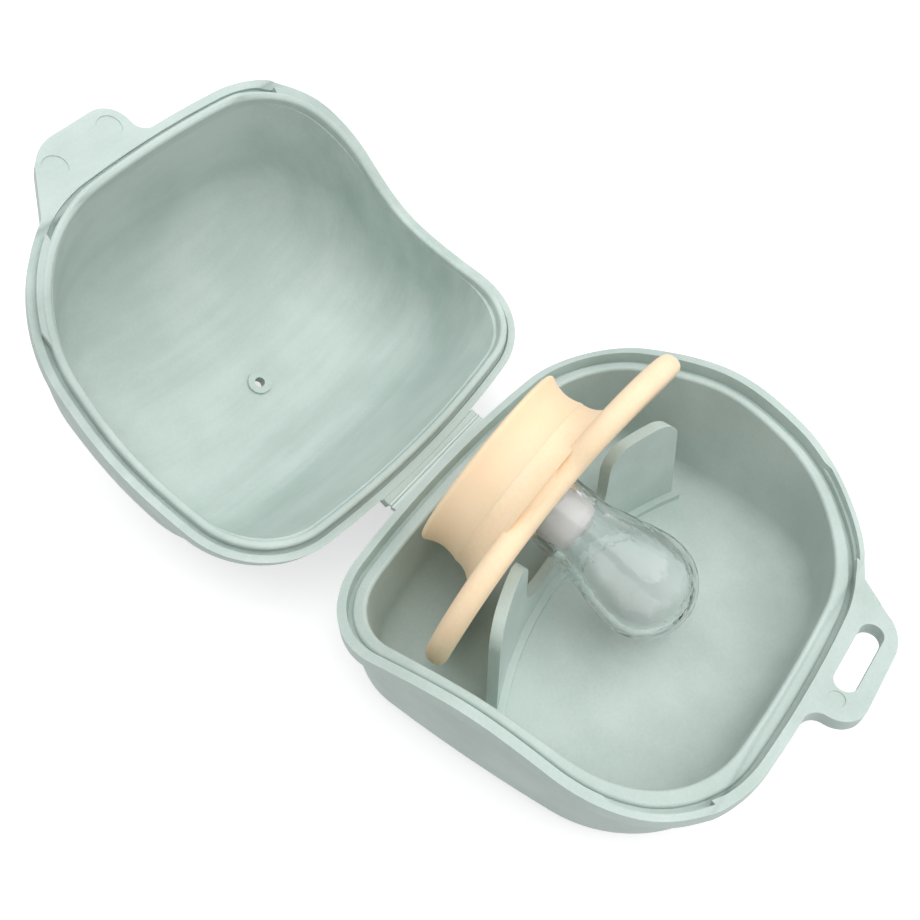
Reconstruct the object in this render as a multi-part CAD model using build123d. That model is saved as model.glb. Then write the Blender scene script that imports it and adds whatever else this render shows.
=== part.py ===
"""Pacifier sterilizer case: a clamshell box with a living hinge, and the pacifier kept in it.

Millimetres, +Z up. The origin is the middle of the flat foot of the base, +Y runs from the
hinge to the front, where the carry loop and the thumb tab stand out side by side.
The lid is modelled closed and then swung open about the hinge line.
"""
from build123d import *
from math import cos, hypot, pi, radians, sin, tan
import os

standing = (Align.CENTER, Align.CENTER, Align.MIN)

# ---------------------------------------------------------------- driving dimensions (mm)
# plan outline of the rim, shared by base and lid
half_width = 31.0            # widest half width, a little behind the middle
widest_y = -9.7
rear_y = -28.2               # middle of the hinge side
front_y = 28.2               # middle of the front side
rear_bow = 3.0               # how far the hinge side bows out past its corners
front_bow = 2.4
rear_narrowing = 0.5         # the corners stand in from the widest half width
front_narrowing = 2.8
rear_corner_radius = 13.0
front_corner_radius = 20.0

# arched parting line, the same along the whole width
rear_rim_z = 13.1            # rim height at the hinge, above the table
front_rim_drop = 1.7         # the front rim lies lower than the hinge rim
arch_rise = 9.4              # crest of the arch over the hinge rim, before the drop
arch_roundness = 1.74
arch_sharpness = 1.58
arch_margin = 0.4            # the arch runs out this far past the rim, front and rear

# base
wall = 1.5
floor_thickness = 1.3
foot_inset = 2.0             # draft of the base wall, from the rim down to the foot
foot_radius = 5.0
band_height = 1.6            # upright band that edges both rims
band_proud = 0.3             # the walls start this far inside the band
flange_width = 1.2           # flat outer flange on the base rim
groove_width = 0.65          # fine groove between the flange and the inner lip
groove_depth = 1.9
groove_backing = 0.5         # plastic kept behind and under the groove, where the wall leans in
lip_width = 1.05             # rounded inner lip
lip_drop = 1.35              # the lip lies this far below the flange
lip_round = 0.4

# divider moulded into the base
divider_mid_y = -9.6         # rear face of the divider, in the middle
divider_radius = 49.0
divider_thickness = 1.5
divider_top_z = 19.6         # tops of the two horns
divider_saddle_z = 6.1       # lowest point of the saddle that the teat crosses
divider_half_width = 22.4    # at its foot
divider_draft = 2.0          # the horns are this much narrower at their tops, each side
saddle_half_width = 9.5
horn_radius = 3.5
saddle_radius = 6.0
divider_reach = 16.0         # half depth of the block that holds the whole bow
foot_bead = 1.0              # bead along the foot of the divider

# lid
lid_wall = 1.6
lid_rim_wall = 2.5           # the lid wall is thickest at the rim
lid_edge_width = 0.85        # thin outer edge of the lid rim
ledge_depth = 0.6
tongue_width = 1.1
tongue_depth = 1.0           # the tongue reaches this far below the parting line
tongue_round = 0.4
lid_shoulder_z = 35.6        # height at which the lid's upper outline is set
lid_rear_slope = 7.0         # how far the rear wall leans in up to that height
lid_front_slope = 4.6
lid_side_slope = 1.2
lid_crest_y = -3.0
lid_crest_z = 41.4
lid_rear_radius = 23.0       # barrel of the lid, behind the crest
lid_front_radius = 44.0      # and in front of it
lid_crown_radius = 90.0      # gentle crown across the width
lid_rear_sweep = 60.0        # angles that carry the arcs past the walls
lid_front_sweep = 50.0
crown_sweep = 30.0
lid_edge_radius = 10.5

# fits
seal_gap = 0.3               # closed lid edge over the base flange
tongue_clearance = 0.5       # tongue to flange, side to side
hinge_gap = 0.05             # fold bead to the lid's hinge land

# living hinge
hinge_length = 19.9
hinge_reach = 0.95           # fold line out from the rim's outer face
hinge_thickness = 0.8
fold_radius = 0.22
fold_drop = 0.45             # the fold lies this far below the hinge rim
open_angle = 144.4           # the opened lid rests on its rear shoulder

# snap beads and the recesses that receive them
snap_start_x = 19.8          # each runs round a front corner, from here
snap_end_x = 27.4            # to here
snap_proud = 0.65            # out from the tongue's outer face
snap_height = 0.7            # down from the parting line
snap_clearance = 0.3
snap_recess = 0.45           # how deep the recess cuts into the flange

# carry loop on the base, thumb tab on the lid
ear_reach = 5.6              # both stand this far out from the front rim
ear_thickness = 2.2
loop_inner_x = 2.2           # steep side of the loop
loop_root_x = -20.0          # where its sloping side meets the rim
tab_inner_x = 1.0
tab_root_x = 20.8
ear_shoulder = 7.2           # run of the sloping side
ear_tip_radius = 3.4
ear_slope_radius = 6.0
ear_shoulder_drop = 0.3      # the top edge falls this much towards the sloping side
ear_root_radius = 2.0
slot_centre_x = -7.1
slot_length = 10.6
slot_width = 3.0
slot_land = 0.45             # web between the rim and the slot
pin_mark_depth = 0.12
loop_pin_mark_radius = 1.1   # marks of the ejector pins
loop_pin_marks = ((-15.1, 30.2), (-0.4, 30.2))
tab_pin_mark_radius = 1.65
tab_pin_marks = ((3.9, 30.9), (13.2, 30.1))

# steam vent in the top of the lid
vent_y = -4.4
vent_radius = 0.8
vent_boss_radius = 1.85
vent_boss_height = 0.5

# pacifier, in its own frame: X along the shield, Y towards the teat's tip, Z up
shield_lobe_x = 10.5         # the shield is two round lobes, each side of the middle
shield_lobe_radius = 13.7
shield_waist = 12.4          # half height in the middle, between the two lobes
shield_thickness = 3.0
shield_bow = 1.8             # the tips curve towards the teat
shield_edge_round = 1.3
vent_border = 4.0
vent_web = 1.6               # web between the collar and each vent
vent_corner_radius = 1.2
waist_radius = 6.0           # rounds the notch between the two lobes
collar_radius = 12.6
collar_height = 2.4
collar_flare = 1.4           # the collar flows out into the plate with a hollow curve this wide
cap_height = 5.2
cap_front_radius = 13.4
cap_waist_radius = 12.2
cap_dome = 0.9
cap_round = 0.5
bore_radius = 5.4
teat_wall = 1.2
teat_neck_radius = 4.9
teat_bulb_radius = 7.0
teat_length = 23.6           # from the middle of the shield
teat_flatness = 0.74
teat_straight = 5.0          # the neck runs straight this far from the middle of the shield
teat_bend = 14.5             # past that the teat leans down from the axis of the shield
teat_neck_steps = 4          # stations of the neck, and of the bulb, in degrees past its middle
teat_bulb_angles = (0, 25, 50, 68, 80)
plug_end_y = 6.0
plug_clearance = 0.15
plug_round = 1.5

# where the pacifier lies: against the divider's horns, teat over the saddle
pacifier_place = (1.7, -10.5, 19.8)
pacifier_turn = 1.5
pacifier_pitch = 18.5
pacifier_roll = 28.0

# ---------------------------------------------------------------- rim outline and parting


def outline(z, inset=0.0, side=0.0, rear=0.0, front=0.0):
    """Face of the plan outline at height z, moved in by side, rear and front, then all round."""
    half = half_width - side
    back = rear_y + rear
    ahead = front_y - front
    rear_corner = (half - rear_narrowing, back + rear_bow)
    front_corner = (half - front_narrowing, ahead - front_bow)
    with BuildSketch(Plane.XY.offset(z)) as plan:
        with BuildLine():
            ThreePointArc((-rear_corner[0], rear_corner[1]), (0, back), rear_corner)
            ThreePointArc(rear_corner, (half, widest_y), front_corner)
            ThreePointArc(front_corner, (0, ahead), (-front_corner[0], front_corner[1]))
            ThreePointArc((-front_corner[0], front_corner[1]), (-half, widest_y),
                          (-rear_corner[0], rear_corner[1]))
        make_face()
        corners = plan.vertices().sort_by(Axis.Y)
        fillet(corners[:2], rear_corner_radius)
        corners = plan.vertices().sort_by(Axis.Y)
        fillet(corners[-2:], front_corner_radius)
        if inset:
            offset(amount=-inset, kind=Kind.INTERSECTION)
    return plan.sketch


def edges_on(shape, shift):
    """Long edges that lie on the parting surface moved up by shift."""
    found = []
    for edge in shape.edges():
        ends = [edge @ 0.1, edge @ 0.5, edge @ 0.9]
        if edge.length > 1 and all(abs(p.Z - parting_z(p.Y) - shift) < 0.02 for p in ends):
            found.append(edge)
    return found


def snap_zone(side, spare):
    """Block round one front corner that holds a snap bead, or its recess with some to spare."""
    length = snap_end_x - snap_start_x + 2 * spare
    middle = side * (snap_start_x + snap_end_x) / 2
    return Pos(middle, front_y / 2, 0) * Box(length, front_y + 2, 4 * room)


def ring(low, high, outer_inset, inner_inset):
    """Upright ring that follows the plan outline between two insets."""
    outer = extrude(outline(low, outer_inset), high - low)
    inner = extrude(outline(low, inner_inset), high - low)
    return outer - inner


def parting_z(y):
    """Height of the arched parting line at y."""
    middle = (front_y + rear_y) / 2
    along = (y - middle) / ((front_y - rear_y) / 2)
    along = max(-1.0, min(1.0, along))
    arch = arch_rise * (1 - abs(along) ** arch_roundness) ** arch_sharpness
    return rear_rim_z + arch - front_rim_drop * (along + 1) / 2


front_rim_z = parting_z(front_y)
crest_rim_z = parting_z((front_y + rear_y) / 2)
room = 60.0                  # reach of the cutting blocks, past every piece
parting_stations = 15


def under_parting(shift):
    """Everything below the parting line moved up by shift."""
    span = front_y - rear_y + 2 * arch_margin
    points = []
    for i in range(parting_stations + 1):
        y = rear_y - arch_margin + span * i / parting_stations
        points.append((y, parting_z(y) + shift))
    with BuildSketch(Plane.YZ.offset(-room)) as profile:
        with BuildLine():
            arch = Spline(points, tangents=[(1, 0), (1, 0)])
            Polyline(arch @ 1, (room, points[-1][1]), (room, -room), (-room, -room),
                     (-room, points[0][1]), arch @ 0)
        make_face()
    return extrude(profile.sketch, 2 * room)


def parting_band(low_shift, high_shift):
    """The layer between two shifted parting lines."""
    return under_parting(high_shift) - under_parting(low_shift)


# ---------------------------------------------------------------- ears: carry loop and tab


def nearest(sketch, x, y):
    """The sketch's corner nearest to a point."""
    return min(sketch.vertices(), key=lambda corner: hypot(corner.X - x, corner.Y - y))


def ear(inner_x, root_x, layer):
    """Plate that stands out from the front rim, steep on one side and sloping on the other."""
    side = 1 if root_x > inner_x else -1
    reach_y = front_y + ear_reach
    embed_y = front_y - 2 * front_bow
    shoulder = (root_x - side * ear_shoulder, reach_y - ear_shoulder_drop)
    with BuildSketch() as plate:
        add(outline(0))
        with BuildLine():
            Polyline((inner_x, embed_y), (inner_x, reach_y), shoulder, (root_x, embed_y), close=True)
        make_face()
        fillet(nearest(plate, inner_x, reach_y), ear_tip_radius)
        fillet(nearest(plate, *shoulder), ear_slope_radius)
        fillet(nearest(plate, inner_x, front_y), ear_root_radius)
        add(outline(0, band_proud + wall / 2), mode=Mode.SUBTRACT)
    return extrude(plate.sketch, room) & layer


# ---------------------------------------------------------------- base


def base_form(low, rim_inset, foot_round):
    """Drafted tub from the height low upwards; its wall stands rim_inset inside the rim."""
    top = crest_rim_z + 4
    foot = outline(low, rim_inset + foot_inset * (1 - low / crest_rim_z))
    rim = outline(top, rim_inset + foot_inset * (1 - top / crest_rim_z))
    tub = loft([foot.face(), rim.face()], ruled=True)
    bottom = tub.faces().sort_by(Axis.Z)[0]
    return fillet(bottom.edges(), foot_round)


def divider():
    """Upright wall bowed towards the hinge, with two horns and a saddle for the teat's neck."""
    centre_y = divider_mid_y + divider_radius
    low = floor_thickness / 2
    inner_radius = divider_radius - divider_thickness
    slab = Cylinder(divider_radius, room, align=standing)
    slab -= Cylinder(inner_radius, room, align=standing)
    foot_half = divider_half_width
    top_half = divider_half_width - divider_draft
    with BuildSketch(Plane.XZ.offset(-room)) as face:
        with BuildLine():
            Polyline((-foot_half, 0), (-top_half, divider_top_z),
                     (-saddle_half_width, divider_top_z), (-saddle_half_width, divider_saddle_z),
                     (saddle_half_width, divider_saddle_z), (saddle_half_width, divider_top_z),
                     (top_half, divider_top_z), (foot_half, 0), close=True)
        make_face()
        tops = face.vertices().group_by(Axis.Y)[-1]
        fillet(tops, horn_radius)
        saddle = [v for v in face.vertices() if abs(v.Y - divider_saddle_z) < 0.01]
        fillet(saddle, saddle_radius)
    bead = Cylinder(inner_radius, low + foot_bead, align=standing)
    bead -= Cylinder(inner_radius - foot_bead, low + foot_bead, align=standing)
    centre = Pos(0, centre_y, low)
    rear_part = Pos(0, divider_mid_y, 0) * Box(2 * foot_half, 2 * divider_reach, room)
    return (centre * slab & extrude(face.sketch, 2 * room) & rear_part) + (centre * bead & rear_part)


def make_base():
    inner_edge = flange_width + groove_width + lip_width
    outer = base_form(0, band_proud, foot_radius) & under_parting(0)
    hollow = base_form(floor_thickness, inner_edge, foot_radius - wall)
    band = ring(0, room, 0, flange_width) & parting_band(-band_height, 0)
    backing = ring(0, room, flange_width - groove_backing, flange_width + groove_width)
    backing = backing & parting_band(-groove_depth - groove_backing, 0)
    shell = outer - hollow + band + backing
    groove = ring(0, room, flange_width, flange_width + groove_width)
    lip = ring(0, room, flange_width, inner_edge + foot_inset)
    shell = shell - (groove - under_parting(-groove_depth)) - (lip - under_parting(-lip_drop))
    shell = fillet(edges_on(shell, -lip_drop), lip_round)
    loop = ear(loop_inner_x, loop_root_x, parting_band(-ear_thickness, 0))
    slot_y = front_y + slot_land + slot_width / 2
    loop -= Pos(slot_centre_x, slot_y, 0) * extrude(SlotOverall(slot_length, slot_width), room)
    for x, y in loop_pin_marks:
        loop -= Pos(x, y, front_rim_z) * Cylinder(loop_pin_mark_radius, 2 * pin_mark_depth)
    shell = shell + loop + divider()
    recess = ring(0, room, flange_width - snap_recess, flange_width + groove_width / 2)
    recess = recess & parting_band(-snap_height - snap_clearance, room)
    for side in (-1, 1):
        shell -= recess & snap_zone(side, snap_clearance)
    return shell


# ---------------------------------------------------------------- living hinge


fold_y = rear_y - hinge_reach
fold_z = rear_rim_z - fold_drop
land_gap = fold_radius / 2   # each land stands this far off the plane of the fold


def hinge_land(low, high):
    """Land that runs from the rear rim to just short of the fold line."""
    length = hinge_reach - hinge_gap + band_proud + wall / 2
    block = Box(hinge_length, length, high - low, align=(Align.CENTER, Align.MIN, Align.MIN))
    return Pos(0, fold_y + hinge_gap, low) * block


def fold_bead(radius):
    return Pos(0, fold_y, fold_z) * Rot(0, 90, 0) * Cylinder(radius, hinge_length)


def make_hinge():
    land = hinge_land(fold_z - land_gap - hinge_thickness, fold_z - land_gap)
    land -= ring(0, room, 0, room / 4)
    return land + fold_bead(fold_radius)


# ---------------------------------------------------------------- lid


def lid_outline(z, inset):
    """Plan outline of the lid's wall at height z, moved in by inset."""
    lean = (z - rear_rim_z) / (lid_shoulder_z - rear_rim_z)
    return outline(z, inset, lid_side_slope * lean, lid_rear_slope * lean, lid_front_slope * lean)


def lid_top(inset):
    """Barrel-shaped and gently crowned space under the lid's top."""
    crest_z = lid_crest_z - inset

    def along(radius, angle):
        turn = radians(angle)
        return lid_crest_y + radius * sin(turn), crest_z - abs(radius) * (1 - cos(turn))

    with BuildSketch(Plane.YZ) as profile:
        with BuildLine():
            rear = ThreePointArc(along(-lid_rear_radius, lid_rear_sweep),
                                 along(-lid_rear_radius, lid_rear_sweep / 2),
                                 (lid_crest_y, crest_z))
            front = ThreePointArc((lid_crest_y, crest_z),
                                  along(lid_front_radius, lid_front_sweep / 2),
                                  along(lid_front_radius, lid_front_sweep))
            Polyline(front @ 1, (room, (front @ 1).Y), (room, 0), (-room, 0),
                     (-room, (rear @ 0).Y), rear @ 0)
        make_face()
    axis = Axis((0, 0, lid_crest_z - lid_crown_radius), (0, 1, 0))
    return revolve(profile.sketch, axis, crown_sweep) + revolve(profile.sketch, axis, -crown_sweep)


def lid_form(rim_inset, top_inset, edge_round):
    """Closed lid as a solid block: drafted walls under the barrel, all top edges rounded."""
    low_z = front_rim_z - front_rim_drop - ledge_depth - tongue_depth
    high_z = lid_crest_z + 3

    def inset_at(z):
        share = (z - rear_rim_z) / (lid_shoulder_z - rear_rim_z)
        return rim_inset + (top_inset - rim_inset) * share

    low = lid_outline(low_z, inset_at(low_z))
    high = lid_outline(high_z, inset_at(high_z))
    block = loft([low.face(), high.face()], ruled=True) & lid_top(top_inset - band_proud)
    top_edges = [e for e in block.edges() if e.center().Z > low_z + 2 and not is_upright(e)]
    return fillet(top_edges, edge_round)


def is_upright(edge):
    span = edge.bounding_box().size
    return span.Z > hypot(span.X, span.Y)


def make_lid():
    tongue_outer = flange_width + tongue_clearance
    tongue_inner = band_proud + lid_rim_wall
    edge_z = seal_gap
    outer = lid_form(band_proud, band_proud, lid_edge_radius)
    hollow = lid_form(tongue_inner, band_proud + lid_wall, lid_edge_radius - lid_wall)
    boss = Pos(0, vent_y, 0) * Cylinder(
        vent_boss_radius, room, align=standing)
    boss_top = lid_form(tongue_inner + vent_boss_height,
                        band_proud + lid_wall + vent_boss_height, lid_edge_radius - lid_wall)
    shell = outer - (hollow - (boss - boss_top))
    shell += ring(0, room, 0, tongue_outer) & parting_band(edge_z, edge_z + band_height)
    shell -= under_parting(edge_z)
    shell -= ring(0, room, lid_edge_width, tongue_outer) & parting_band(
        -room, edge_z + ledge_depth)
    tongue = ring(0, room, tongue_outer, tongue_inner) & parting_band(
        -tongue_depth, edge_z + ledge_depth + tongue_round)
    tongue = fillet(edges_on(tongue, -tongue_depth), tongue_round)
    shell += tongue
    bead = ring(0, room, tongue_outer - snap_proud, tongue_outer + tongue_width / 2)
    bead = bead & parting_band(-snap_height, edge_z + ledge_depth + tongue_round)
    for side in (-1, 1):
        shell += bead & snap_zone(side, 0)
    tab = ear(tab_inner_x, tab_root_x, parting_band(edge_z, edge_z + ear_thickness))
    for x, y in tab_pin_marks:
        tab -= Pos(x, y, front_rim_z + edge_z) * Cylinder(tab_pin_mark_radius, 2 * pin_mark_depth)
    shell += tab
    land = hinge_land(fold_z + land_gap, rear_rim_z + edge_z + hinge_thickness)
    land -= ring(0, room, -land_gap, room / 4) & under_parting(edge_z)
    land -= ring(0, room, band_proud, room / 4)
    shell += land - fold_bead(fold_radius + hinge_gap)
    shell -= Pos(0, vent_y, lid_crest_z) * Cylinder(vent_radius, room / 2)
    return shell


def swing(shape, angle):
    """Turn the closed lid open about the fold line."""
    return Pos(0, fold_y, fold_z) * Rot(angle, 0, 0) * Pos(0, -fold_y, -fold_z) * shape


# ---------------------------------------------------------------- pacifier


def collar_neck(root_y):
    """Skirt at the collar's root, with a hollow curve between its rim and the collar."""
    top_y = seat_y + cap_round
    reach = collar_radius + collar_flare
    middle = (collar_radius + collar_flare / 4, (root_y + top_y) / 2)
    with BuildSketch() as profile:
        with BuildLine():
            Polyline((collar_radius, top_y), (0, top_y), (0, root_y), (reach, root_y))
            ThreePointArc((reach, root_y), middle, (collar_radius, top_y))
        make_face()
    return revolve(profile.sketch, Axis.Y)


def make_shield():
    """Butterfly plate bowed towards the teat, with a vent in each lobe and a collar for the cap."""
    half = shield_thickness / 2
    with BuildSketch(Plane.XZ.offset(-room / 2)) as butterfly:
        with Locations((-shield_lobe_x, 0), (shield_lobe_x, 0)):
            Circle(shield_lobe_radius)
        Rectangle(2 * shield_lobe_x, 2 * shield_waist)
        notches = [v for v in butterfly.vertices() if abs(v.X) < shield_lobe_x / 2]
        fillet(notches, waist_radius)
    half_length = shield_lobe_x + shield_lobe_radius
    bow_radius = (half_length ** 2 + shield_bow ** 2) / (2 * shield_bow)
    curved = Cylinder(bow_radius + half, room) - Cylinder(bow_radius - half, room)
    plate = extrude(butterfly.sketch, room) & Pos(0, bow_radius, 0) * curved
    plate = fillet(plate.edges(), shield_edge_round)
    with BuildSketch(Plane.XZ.offset(-room / 2)) as openings:
        with Locations((-shield_lobe_x, 0), (shield_lobe_x, 0)):
            Circle(shield_lobe_radius - vent_border)
        Circle(collar_radius + vent_web, mode=Mode.SUBTRACT)
        corners = [v for v in openings.vertices() if abs(v.Y) > vent_border]
        fillet(corners, vent_corner_radius)
    plate -= extrude(openings.sketch, room)
    plate += along_axis(collar_radius, seat_y, 0) + collar_neck(-half + shield_bow / 3)
    return plate - along_axis(bore_radius, -room, room)


seat_y = -shield_thickness / 2 - collar_height   # where the cap meets the collar


def make_cap():
    """Button on the front: a drum with a hollow waist and a slightly domed face."""
    front = seat_y - cap_height
    waist = (cap_waist_radius, seat_y - cap_height / 3)
    with BuildSketch() as profile:
        with BuildLine():
            Polyline((0, front - cap_dome), (0, seat_y), (collar_radius, seat_y))
            ThreePointArc((collar_radius, seat_y), waist, (cap_front_radius, front))
            TangentArc((0, front - cap_dome), (cap_front_radius, front), tangent=(1, 0))
        make_face()
        fillet(nearest(profile, cap_front_radius, front), cap_round)
    return revolve(profile.sketch, Axis.Y)


def teat_form(skin):
    """Solid teat in its outer shape, or in its hollow shape when skin is the wall."""
    tip = teat_length - skin
    bulb = teat_bulb_radius - skin
    neck = teat_neck_radius - skin
    bulb_y = tip - bulb
    lean = tan(radians(teat_bend))

    def section(y, radius, flatness):
        with BuildSketch(Plane.XZ.offset(-y)) as oval:
            with Locations((0, -lean * (y - teat_straight))):
                Ellipse(radius, radius * flatness)
        return oval.sketch.face()

    sections = [section(teat_straight, neck, 1.0)]
    for i in range(1, teat_neck_steps):
        share = i / teat_neck_steps
        swell = (1 - cos(pi * share)) / 2
        y = teat_straight + (bulb_y - teat_straight) * share
        sections.append(section(y, neck + (bulb - neck) * swell, 1 - (1 - teat_flatness) * swell))
    for angle in teat_bulb_angles:
        turn = radians(angle)
        sections.append(section(bulb_y + bulb * sin(turn), bulb * cos(turn), teat_flatness))
    end = Vertex(0, tip, -lean * (tip - teat_straight))
    return loft(sections + [end])


def along_axis(radius, start, end):
    """Round bar along the pacifier's axis."""
    return Rot(-90, 0, 0) * Pos(0, 0, start) * Cylinder(radius, end - start, align=standing)


def make_teat():
    """Hollow silicone teat with the sleeve that passes through the shield."""
    back_y = shield_thickness / 2
    sleeve = along_axis(bore_radius, seat_y, back_y)
    neck = along_axis(teat_neck_radius, back_y, teat_straight)
    hollow = along_axis(teat_neck_radius - teat_wall, seat_y, teat_straight)
    return sleeve + neck + teat_form(0) - (hollow + teat_form(teat_wall))


def make_plug():
    """Plug that locks the teat in the shield from behind the cap."""
    plug = along_axis(teat_neck_radius - teat_wall - plug_clearance, seat_y, plug_end_y)
    return fillet(plug.edges().sort_by(Axis.Y)[-1], plug_round)


def lay(piece):
    """Put a pacifier piece where it lies in the base."""
    turned = Rot(0, 0, pacifier_turn) * Rot(-pacifier_pitch, 0, 0) * Rot(0, pacifier_roll, 0)
    return Pos(*pacifier_place) * turned * piece


# ---------------------------------------------------------------- assembly

if __name__ == "__main__":
    pieces = {
        "base_shell": make_base(),
        "hinge_strip": make_hinge(),
        "lid_shell": swing(make_lid(), open_angle),
        "pacifier_shield": lay(make_shield()),
        "pacifier_cap": lay(make_cap()),
        "pacifier_teat": lay(make_teat()),
        "teat_plug": lay(make_plug()),
    }
    os.makedirs("parts", exist_ok=True)
    for name, piece in pieces.items():
        export_step(piece, "parts/" + name + ".step")
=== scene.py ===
import bpy
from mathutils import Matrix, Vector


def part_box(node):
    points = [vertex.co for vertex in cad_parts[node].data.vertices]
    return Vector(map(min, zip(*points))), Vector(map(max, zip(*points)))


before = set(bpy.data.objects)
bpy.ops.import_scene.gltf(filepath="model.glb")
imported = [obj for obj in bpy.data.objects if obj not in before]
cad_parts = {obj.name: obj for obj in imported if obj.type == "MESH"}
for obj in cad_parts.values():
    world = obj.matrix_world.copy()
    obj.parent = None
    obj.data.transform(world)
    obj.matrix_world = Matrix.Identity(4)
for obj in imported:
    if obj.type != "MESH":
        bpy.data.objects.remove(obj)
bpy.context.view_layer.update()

# Base shell. The lower half of the case, injection moulded in sage polypropylene with the
# divider, the rim's groove and lip, and the carry loop. The mould leaves a fine satin grain.


class Level:
    """A shader value that is added and multiplied as a number is."""

    def __init__(self, wiring, socket):
        self.wiring = wiring
        self.socket = socket

    def combine(self, operation, first, second):
        settings = {"operation": operation}
        return self.wiring.node("ShaderNodeMath", settings, {0: first, 1: second}).out()

    def __add__(self, other):
        return self.combine("ADD", self, other)

    def __radd__(self, other):
        return self.combine("ADD", other, self)

    def __mul__(self, other):
        return self.combine("MULTIPLY", self, other)

    def __rmul__(self, other):
        return self.combine("MULTIPLY", other, self)


class Placed:
    """A node that has its settings and its values."""

    def __init__(self, wiring, made):
        self.wiring = wiring
        self.made = made

    def out(self, key=0):
        return Level(self.wiring, self.made.outputs[key])


class Wiring:
    """The nodes of one material, or of the room."""

    def __init__(self, tree):
        self.tree = tree

    def node(self, kind, settings, values):
        made = self.tree.nodes.new(kind)
        for key, value in settings.items():
            setattr(made, key, value)
        for key, value in values.items():
            self.feed(made.inputs[key], value)
        return Placed(self, made)

    def feed(self, socket, value):
        if isinstance(value, Level):
            self.tree.links.new(value.socket, socket)
        else:
            socket.default_value = value

    def seen_rays(self):
        """1 or more where a ray comes from the camera, a gloss or a clear piece."""
        rays = self.node("ShaderNodeLightPath", {}, {})
        reflected = rays.out("Is Camera Ray") + rays.out("Is Glossy Ray")
        return reflected + rays.out("Is Transmission Ray")


class Finish(Wiring):
    """One material: a Principled shader, and the nodes that vary it over the surface."""

    def __init__(self, name, constants):
        self.material = bpy.data.materials.new(name)
        self.material.use_nodes = True
        super().__init__(self.material.node_tree)
        self.shader = self.tree.nodes["Principled BSDF"]
        for socket, value in constants.items():
            self.shader.inputs[socket].default_value = value
        self.place = self.node("ShaderNodeTexCoord", {}, {}).out("Object")

    def vary(self, socket, value):
        self.feed(self.shader.inputs[socket], value)

    def stretched(self, factors):
        """The place on the piece, stretched along each axis."""
        settings = {"operation": "MULTIPLY"}
        return self.node("ShaderNodeVectorMath", settings, {0: self.place, 1: factors}).out()

    def cloud(self, scale, detail=3.0, place=None):
        """Soft noise from 0 to 1, with spots about 1 / scale metres across."""
        values = {"Vector": place or self.place, "Scale": scale, "Detail": detail}
        return self.node("ShaderNodeTexNoise", {}, values).out("Fac")

    def band(self, value, low, high):
        """0 under low, 1 over high, and a smooth step between them."""
        settings = {"interpolation_type": "SMOOTHSTEP"}
        values = {"Value": value, "From Min": low, "From Max": high}
        return self.node("ShaderNodeMapRange", settings, values).out("Result")

    def blend(self, share, first, second):
        """Two colours blended."""
        factor, colour_a, colour_b, colour_result = 0, 6, 7, 2
        values = {factor: share, colour_a: first, colour_b: second}
        return self.node("ShaderNodeMix", {"data_type": "RGBA"}, values).out(colour_result)

    def relief(self, height, depth, strength):
        """Surface relief of a given depth in metres."""
        values = {"Height": height, "Distance": depth, "Strength": strength}
        self.vary("Normal", self.node("ShaderNodeBump", {}, values).out("Normal"))

    def put_on(self, node_name):
        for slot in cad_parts[node_name].material_slots:
            slot.material = self.material


sage_light = (0.530, 0.618, 0.586, 1)
sage_deep = (0.430, 0.520, 0.486, 1)
sage_constants = {
    "Specular IOR Level": 0.42,
    "Subsurface Weight": 0.12,
    "Subsurface Radius": (0.0012, 0.0016, 0.0014),
    "Subsurface Scale": 1.0,
}

sage_mottle_scale = 85
sage_grain_scale = 2600
mould_ripple_scale = 700
mould_relief = 0.00004

tub = Finish("sage_polypropylene", sage_constants)
tub_mottle = tub.cloud(sage_mottle_scale)
tub_grain = tub.cloud(sage_grain_scale, 4)
tub_shade = tub.band(tub_mottle * 0.75 + tub_grain * 0.25, 0.3, 0.7)
tub.vary("Base Color", tub.blend(tub_shade, sage_deep, sage_light))
tub.vary("Roughness", 0.46 + 0.16 * tub_grain)
tub.relief(tub_grain + 0.6 * tub.cloud(mould_ripple_scale, 2), mould_relief, 0.5)
tub.put_on("base_shell")

# Hinge strip. The web between the halves, thinned along the fold, where the plastic has
# gone paler from bending. It is moulded in one with both halves.

sage = (0.480, 0.568, 0.536, 1)
sage_bent = (0.66, 0.75, 0.72, 1)
bend_lines_along_fold = (60, 4000, 4000)
bend_relief = 0.00003

web = Finish("bent_polypropylene", sage_constants)
web_grain = web.cloud(sage_grain_scale, 4)
web_lines = web.cloud(1, 2, web.stretched(bend_lines_along_fold))
web.vary("Base Color", web.blend(web.band(web_lines, 0.35, 0.65), sage, sage_bent))
web.vary("Roughness", 0.4 + 0.2 * web_grain)
web.relief(web_lines, bend_relief, 0.5)
web.put_on("hinge_strip")

# Lid shell. The upper half, with its thumb tab and the steam vent, moulded in the same
# polypropylene. Long pale and dark streaks run along the hinge in its colour. They are painted
# highlights and painted shade, where the light falls across ripples in the surface.

# Stretch of the painted highlight and shade streaks, so they run along the hinge.
sheen_streak_stretch = (28, 260, 90)
fine_scuffs = (120, 1500, 400)

cover = Finish("sage_polypropylene_painted_sheen", sage_constants)
cover_mottle = cover.cloud(sage_mottle_scale)
cover_grain = cover.cloud(sage_grain_scale, 4)
# Painted highlights and painted shade: long pale and dark streaks of light on the lid's surface
# ripples.
painted_sheen_streaks = cover.cloud(1, 3, cover.stretched(sheen_streak_stretch))
cover_scuffs = cover.cloud(1, 4, cover.stretched(fine_scuffs))
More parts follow.
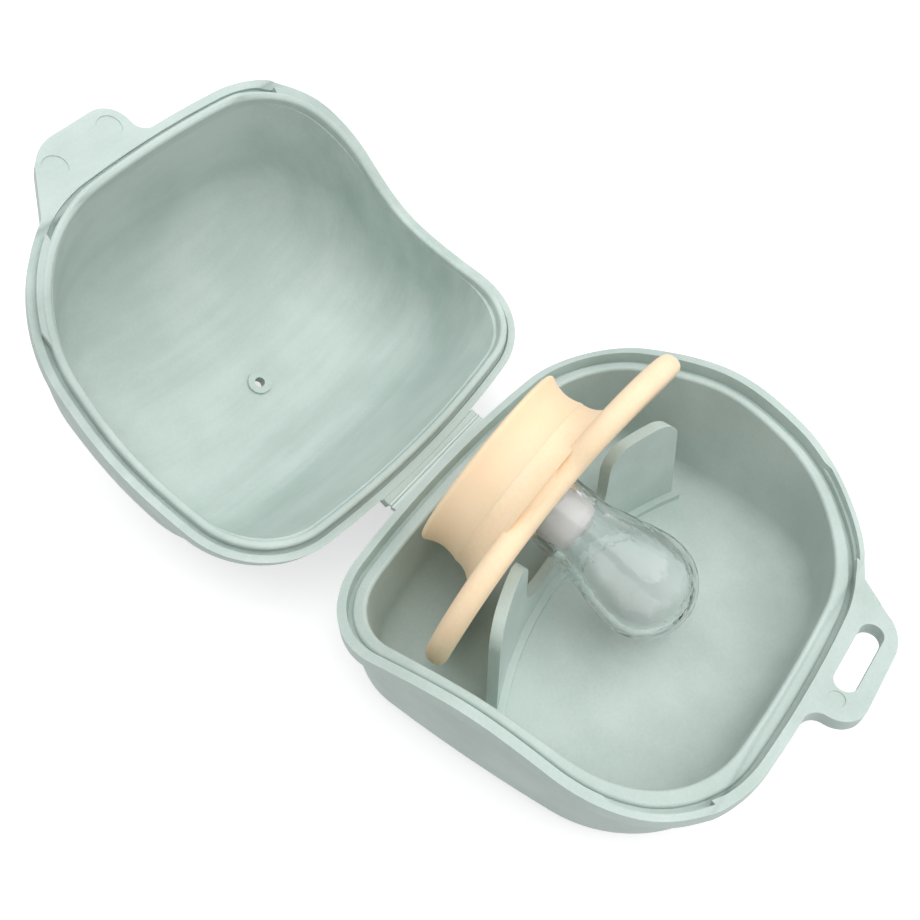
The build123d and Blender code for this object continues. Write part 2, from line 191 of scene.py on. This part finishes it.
# The lid's colour mixes its random mottle, scuffs and grain with the painted highlight and shade
# streaks.
cover_tone_and_painted_sheen = cover_mottle * 0.35 + painted_sheen_streaks * 0.4 + cover_scuffs * 0.1 + cover_grain * 0.15
cover.vary("Base Color", cover.blend(cover.band(cover_tone_and_painted_sheen, 0.36, 0.64), sage_deep, sage_light))
cover.vary("Roughness", 0.36 + 0.14 * cover_grain + 0.16 * painted_sheen_streaks)
cover.relief(cover_grain + 0.5 * cover.cloud(mould_ripple_scale, 2), mould_relief, 0.5)
cover.put_on("lid_shell")

# Pacifier shield. A bowed butterfly plate of peach polypropylene with a dry, eggshell-like
# grain, and the collar that takes the cap.

peach = (0.870, 0.665, 0.440, 1)
peach_light = (0.910, 0.735, 0.520, 1)
peach_constants = {
    "Specular IOR Level": 0.4,
    "Subsurface Weight": 0.15,
    "Subsurface Radius": (0.0020, 0.0012, 0.0008),
    "Subsurface Scale": 1.0,
}

peach_grain_scale = 2200
eggshell_relief = 0.00005

plate = Finish("peach_polypropylene", peach_constants)
plate_grain = plate.cloud(peach_grain_scale, 4)
plate_mottle = plate.cloud(120)
plate_shade = plate.band(plate_mottle * 0.6 + plate_grain * 0.4, 0.3, 0.7)
plate.vary("Base Color", plate.blend(plate_shade, peach, peach_light))
plate.vary("Roughness", 0.5 + 0.14 * plate_grain)
plate.relief(plate_grain, eggshell_relief, 0.5)
plate.put_on("pacifier_shield")

# Pacifier cap. The button on the front, pressed onto the collar, in the same peach plastic.
# Its front edge has a pink blush.

peach_blush = (0.880, 0.540, 0.390, 1)
blush_starts = 0.0055
blush_full = 0.001
blush_share = 0.35

button = Finish("peach_polypropylene_blushed", peach_constants)
button_grain = button.cloud(peach_grain_scale, 4)
button_mottle = button.cloud(160)
cap_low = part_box("pacifier_cap")[0]
cap_front = -cap_low[1]
split = button.node("ShaderNodeSeparateXYZ", {}, {0: button.place})
toward_front = button.band(split.out("Y") * -1, cap_front - blush_starts, cap_front - blush_full)
blush = button.blend(toward_front * blush_share, peach, peach_blush)
button_shade = button.band(button_mottle, 0.3, 0.8) * 0.5
button.vary("Base Color", button.blend(button_shade, blush, peach_light))
button.vary("Roughness", 0.5 + 0.14 * button_grain)
button.relief(button_grain + 0.6 * button.cloud(900, 2), eggshell_relief, 0.6)
button.put_on("pacifier_cap")

# Teat. Hollow, clear silicone with faint flow lines in its wall, softly shining.

silicone = Finish("clear_silicone", {
    "Base Color": (0.97, 0.975, 0.98, 1),
    "Transmission Weight": 1.0,
    "IOR": 1.41,
    "Specular IOR Level": 0.5,
})
flow_along_teat = (420, 160, 420)
fine_flow_along_teat = (900, 220, 900)
flow_relief = 0.0004
silicone_flow = silicone.cloud(1, 3, silicone.stretched(flow_along_teat))
silicone_lines = silicone.cloud(1, 2, silicone.stretched(fine_flow_along_teat))
silicone.vary("Roughness", 0.02 + 0.10 * silicone.band(silicone_flow, 0.5, 0.75))
silicone.relief(silicone_flow + 0.4 * silicone_lines, flow_relief, 0.3)
silicone.put_on("pacifier_teat")

# Teat plug. Frosted natural polypropylene; it spreads the teat's neck in the shield.

frost = Finish("frosted_plastic", {
    "Base Color": (0.93, 0.93, 0.91, 1),
    "Transmission Weight": 0.35,
    "IOR": 1.49,
})
frost_relief = 0.00006
frost_grain = frost.cloud(1800, 3)
frost.vary("Roughness", 0.35 + 0.25 * frost_grain)
frost.relief(frost_grain, frost_relief, 0.5)
frost.put_on("teat_plug")

# Stage. A pale floor, whose soft shadow stays while the rest of it shows as white, a large
# softbox from the front and a weaker one overhead.

floor_size = 6
floor_under_table = -0.0002
floor_dark = (0.50, 0.50, 0.50, 1)
floor_pale = (0.53, 0.53, 0.53, 1)
room_level = 0.62
seen_white = 1.0
black = (0, 0, 0, 1)
floor_glow = (room_level, room_level, room_level, 1)

bpy.ops.mesh.primitive_plane_add(size=floor_size, location=(0, 0, floor_under_table))
floor = bpy.context.object
floor.name = "floor"
ground = Finish("pale_floor", {"Roughness": 0.9, "Specular IOR Level": 0.1})
ground.vary("Base Color", ground.blend(ground.cloud(3, 2), floor_dark, floor_pale))
ground.vary("Emission Strength", 1.0)
ground.vary("Emission Color", ground.blend(ground.seen_rays(), black, floor_glow))
floor.data.materials.append(ground.material)

for name, spot, size, power in (
    ("front_softbox", (-0.14, 0.45, 0.80), 1.0, 6.1),
    ("overhead", (0.05, -0.15, 0.90), 0.8, 2.2),
):
    lamp = bpy.data.lights.new(name, "AREA")
    lamp.size = size
    lamp.energy = power
    holder = bpy.data.objects.new(name, lamp)
    holder.location = spot
    holder.rotation_euler = (-holder.location).to_track_quat("-Z", "Y").to_euler()
    bpy.context.collection.objects.link(holder)

world = bpy.data.worlds.new("white_room")
bpy.context.scene.world = world
world.use_nodes = True
backdrop = world.node_tree.nodes["Background"]
backdrop.inputs["Color"].default_value = (1, 1, 1, 1)
room = Wiring(world.node_tree)
glow_values = {"Value": room.seen_rays(), "To Min": room_level, "To Max": seen_white}
glow = room.node("ShaderNodeMapRange", {}, glow_values).out("Result")
room.feed(backdrop.inputs["Strength"], glow)

view = bpy.data.cameras.new("view")
view.sensor_width = 36
view.lens = 38.69
view.clip_start = 0.01
eye = bpy.data.objects.new("view", view)
eye.location = (0.065152, 0.025909, 0.120613)
eye.rotation_euler = (0.666404, 0.012035, 2.217606)
bpy.context.collection.objects.link(eye)
bpy.context.scene.camera = eye
bpy.context.scene.view_settings.view_transform = "Standard"
